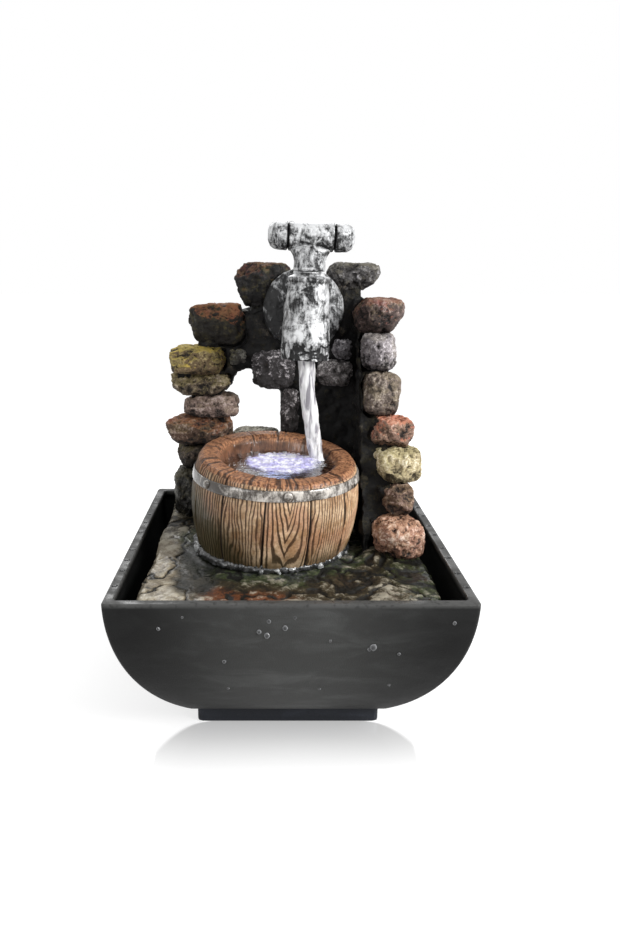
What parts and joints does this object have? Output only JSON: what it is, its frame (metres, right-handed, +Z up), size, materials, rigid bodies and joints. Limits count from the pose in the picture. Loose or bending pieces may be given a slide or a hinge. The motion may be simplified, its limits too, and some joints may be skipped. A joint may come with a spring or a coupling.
{
  "type": "tabletop fountain",
  "caption": "Tabletop fountain: a tap pours into a small barrel in front of a stacked-stone wall that lifts out of a square bowl.",
  "frame": {"origin": "middle of the foot's underside, on the surface that the fountain stands on", "axes": "+Z up, +X to the right as seen from the front, +Y to the back, where the wall stands"},
  "size_m": [0.175, 0.175, 0.2619],
  "materials": {
    "bowl_black": "satin black cast resin, wet",
    "foot_black": "satin blue-black",
    "pump_black": "fine moulded black",
    "core_dark": "dark stained cast resin",
    "stone_brown": "cast resin stone, washed brown and dry-brushed",
    "ground_wet": "cast resin ground, wet",
    "barrel_wood": "cast resin painted as grained wood, wet",
    "aged_silver": "cast resin, silver dry-brushed over black",
    "screw_steel": "plain stainless",
    "rubber": "soft black",
    "ceramic": "ground",
    "ferrite": "ferrite magnet",
    "impeller_white": "moulded white",
    "board_white": "white board with lit diodes",
    "clear_plastic": "clear"
  },
  "bodies": {
    "bowl": {"bowl": "bowl_black", "bowl_foot": "foot_black", "cord_grommet": "rubber", "pump_housing": "pump_black", "pump_cover": "pump_black", "pump_strainer": "pump_black", "pump_outlet": "pump_black", "pump_gland": "rubber", "pump_shaft": "ceramic", "suction_cup_1": "rubber", "suction_cup_2": "rubber", "suction_cup_3": "rubber", "suction_cup_4": "rubber"},
    "impeller": {"impeller": "impeller_white", "rotor_magnet": "ferrite"},
    "flow_gate": {"flow_gate": "pump_black"},
    "rockwork": {"ground_plate": "ground_wet", "wall_core": "core_dark", "wall_wing": "core_dark", "channel_cover": "core_dark", "cover_screw_low": "screw_steel", "cover_screw_high": "screw_steel", "stone_left_1": "stone_brown", "stone_left_2": "stone_brown", "stone_left_3": "stone_brown", "stone_left_4": "stone_brown", "stone_left_5": "stone_brown", "stone_left_6": "stone_brown", "stone_left_7": "stone_brown", "stone_top_left": "stone_brown", "stone_top_right": "stone_brown", "stone_right_1": "stone_brown", "stone_right_2": "stone_brown", "stone_right_3": "stone_brown", "stone_right_4": "stone_brown", "stone_right_5": "stone_brown", "stone_right_6": "stone_brown", "stone_right_7": "stone_brown", "stone_sill_foot": "stone_brown", "stone_sill": "stone_brown", "pebble_centre": "stone_brown", "pebble_post": "stone_brown", "pebble_low_right": "stone_brown", "pebble_high_right": "stone_brown", "pebble_left": "stone_brown", "barrel": "barrel_wood", "barrel_hoop": "aged_silver", "barrel_foot_ring": "aged_silver", "lamp_body": "pump_black", "lamp_seal": "rubber", "lamp_nut": "pump_black", "lamp_board": "board_white", "lamp_lens": "clear_plastic", "riser_tube": "clear_plastic", "hose_elbow": "pump_black", "tap_flange": "aged_silver", "tap_pipe": "aged_silver", "tap_collar": "aged_silver"},
    "tap_handle": {"tap_handle": "aged_silver"}
  },
  "joints": [
    {"name": "rockwork_lift", "type": "slide", "parent": "bowl", "child": "rockwork", "axis": [0, 0, 1], "range_m": [0, 0.06]},
    {"name": "impeller_spin", "type": "hinge", "parent": "bowl", "child": "impeller", "pos_m": [0, 0.0405, 0.0366], "axis": [1, 0, 0], "continuous": true},
    {"name": "flow_gate_slide", "type": "slide", "parent": "bowl", "child": "flow_gate", "axis": [0, 1, 0], "range_m": [0, 0.007]},
    {"name": "handle_turn", "type": "hinge", "parent": "rockwork", "child": "tap_handle", "pos_m": [0.01124, 0.008, 0.23648], "axis": [0.0419, 0, 0.9991], "range_deg": [0, 90]}
  ]
}
